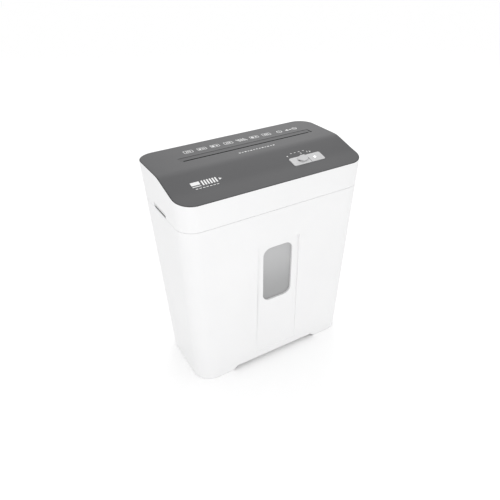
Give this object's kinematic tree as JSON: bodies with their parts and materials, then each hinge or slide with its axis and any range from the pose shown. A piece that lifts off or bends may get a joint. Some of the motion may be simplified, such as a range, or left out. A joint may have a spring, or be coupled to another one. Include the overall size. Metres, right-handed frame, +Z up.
{
  "type": "paper shredder",
  "caption": "Small office paper shredder: a tapered waste bin with a window, and a lift-off shredding head with a sloping control surface.",
  "frame": {"origin": "centre of the footprint, on the surface it stands on", "axes": "+Z up, -Y to the front with the window and the controls, +X to the right seen from the front"},
  "size_m": [0.3058, 0.165, 0.35],
  "materials": {
    "housing_white": "fine satin white moulded plastic",
    "cover_grey": "fine-textured dark grey moulded plastic",
    "chassis_black": "fine-textured black moulded plastic",
    "window_frost": "frosted translucent plastic",
    "switch_silver": "satin silver plastic",
    "knob_silver": "satin silver plastic",
    "plate_steel": "zinc-plated sheet steel",
    "cutter_steel": "oiled hardened steel",
    "shaft_steel": "ground steel",
    "sintered_steel": "sintered steel",
    "gear_nylon": "natural nylon",
    "bronze": "sintered bronze",
    "winding_copper": "enamelled copper on steel laminations",
    "magnet_ferrite": "ferrite",
    "can_steel": "zinc-plated drawn steel",
    "screw_zinc": "zinc-plated steel",
    "board_green": "solder-masked glass-fibre board",
    "capacitor_yellow": "moulded plastic case",
    "relay_blue": "moulded plastic case",
    "light_lens": "clear polished plastic",
    "light_red": "tinted resin",
    "nylon_white": "white nylon",
    "plunger_orange": "orange acetal",
    "gland_rubber": "black rubber",
    "wire_red": "insulated wire",
    "wire_black": "insulated two-core lead"
  },
  "bodies": {
    "bin": {"bin_shell": "housing_white", "window_pane": "window_frost"},
    "head": {"head_housing": "housing_white", "top_cover": "cover_grey", "lower_chassis": "chassis_black", "shred_chute": "chassis_black", "paper_guide": "chassis_black", "gear_plate": "plate_steel", "end_plate": "plate_steel", "tie_rods": "shaft_steel", "front_stripper": "chassis_black", "rear_stripper": "chassis_black", "shaft_bushings": "bronze", "gear_axles": "shaft_steel", "gearbox_cover": "chassis_black", "motor_can": "can_steel", "motor_end_cap": "chassis_black", "motor_magnets": "magnet_ferrite", "motor_bushes": "bronze", "thermal_cutout": "chassis_black", "control_board": "board_green", "line_capacitor": "capacitor_yellow", "power_relay": "relay_blue", "mode_switch": "chassis_black", "indicator_led": "light_red", "indicator_lens": "light_lens", "switch_bezel": "switch_silver", "feed_sensor": "chassis_black", "lever_pin": "shaft_steel", "bin_switch": "chassis_black", "cord_gland": "gland_rubber", "motor_leads": "wire_red", "supply_lead": "wire_black", "housing_screws": "screw_zinc", "cover_screws": "screw_zinc", "plate_screws": "screw_zinc", "motor_screws": "screw_zinc", "gearbox_screws": "screw_zinc", "board_screws": "screw_zinc", "block_screws": "screw_zinc"},
    "rotor": {"motor_armature": "winding_copper", "motor_shaft": "shaft_steel", "motor_pinion": "sintered_steel", "motor_fan": "nylon_white"},
    "first_stage": {"first_gear": "gear_nylon"},
    "second_stage": {"second_gear": "gear_nylon"},
    "front_cutter": {"front_cutter_shaft": "shaft_steel", "front_cutter_discs": "cutter_steel", "front_spacers": "cutter_steel", "final_gear": "gear_nylon", "front_sync_gear": "sintered_steel"},
    "rear_cutter": {"rear_cutter_shaft": "shaft_steel", "rear_cutter_discs": "cutter_steel", "rear_spacers": "cutter_steel", "rear_sync_gear": "sintered_steel"},
    "knob": {"switch_knob": "knob_silver"},
    "lever": {"feed_lever": "nylon_white"},
    "plunger": {"interlock_plunger": "plunger_orange"}
  },
  "joints": [
    {"name": "head_lift", "type": "slide", "parent": "bin", "child": "head", "axis": [0, 0, 1], "range_m": [0, 0.15]},
    {"name": "motor_spin", "type": "hinge", "parent": "head", "child": "rotor", "pos_m": [0, -0.041, 0.302], "axis": [1, 0, 0], "continuous": true},
    {"name": "first_gear_spin", "type": "hinge", "parent": "head", "child": "first_stage", "pos_m": [0, -0.01762, 0.3155], "axis": [1, 0, 0], "continuous": true},
    {"name": "second_gear_spin", "type": "hinge", "parent": "head", "child": "second_stage", "pos_m": [0, -0.01691, 0.28851], "axis": [1, 0, 0], "continuous": true},
    {"name": "front_cutter_spin", "type": "hinge", "parent": "head", "child": "front_cutter", "pos_m": [0, 0.0108, 0.3], "axis": [1, 0, 0], "continuous": true},
    {"name": "rear_cutter_spin", "type": "hinge", "parent": "head", "child": "rear_cutter", "pos_m": [0, 0.0378, 0.3], "axis": [1, 0, 0], "continuous": true},
    {"name": "switch_slide", "type": "slide", "parent": "head", "child": "knob", "axis": [1, 0, 0], "range_m": [-0.006, 0.006]},
    {"name": "feed_lever_swing", "type": "hinge", "parent": "head", "child": "lever", "pos_m": [0, 0.033, 0.333], "axis": [1, 0, 0], "range_deg": [0, 25], "stiffness_Nm_per_rad": 0.002, "springref_deg": -11.46},
    {"name": "interlock_slide", "type": "slide", "parent": "head", "child": "plunger", "axis": [0, 0, 1], "range_m": [-0.005, 0]}
  ],
  "couplings": [
    {"joint": "first_gear_spin", "follows": "motor_spin", "ratio": -0.22727},
    {"joint": "second_gear_spin", "follows": "motor_spin", "ratio": 0.064935},
    {"joint": "front_cutter_spin", "follows": "motor_spin", "ratio": -0.021645},
    {"joint": "rear_cutter_spin", "follows": "motor_spin", "ratio": 0.021645},
    {"joint": "interlock_slide", "follows": "head_lift", "ratio": -0.033333}
  ]
}
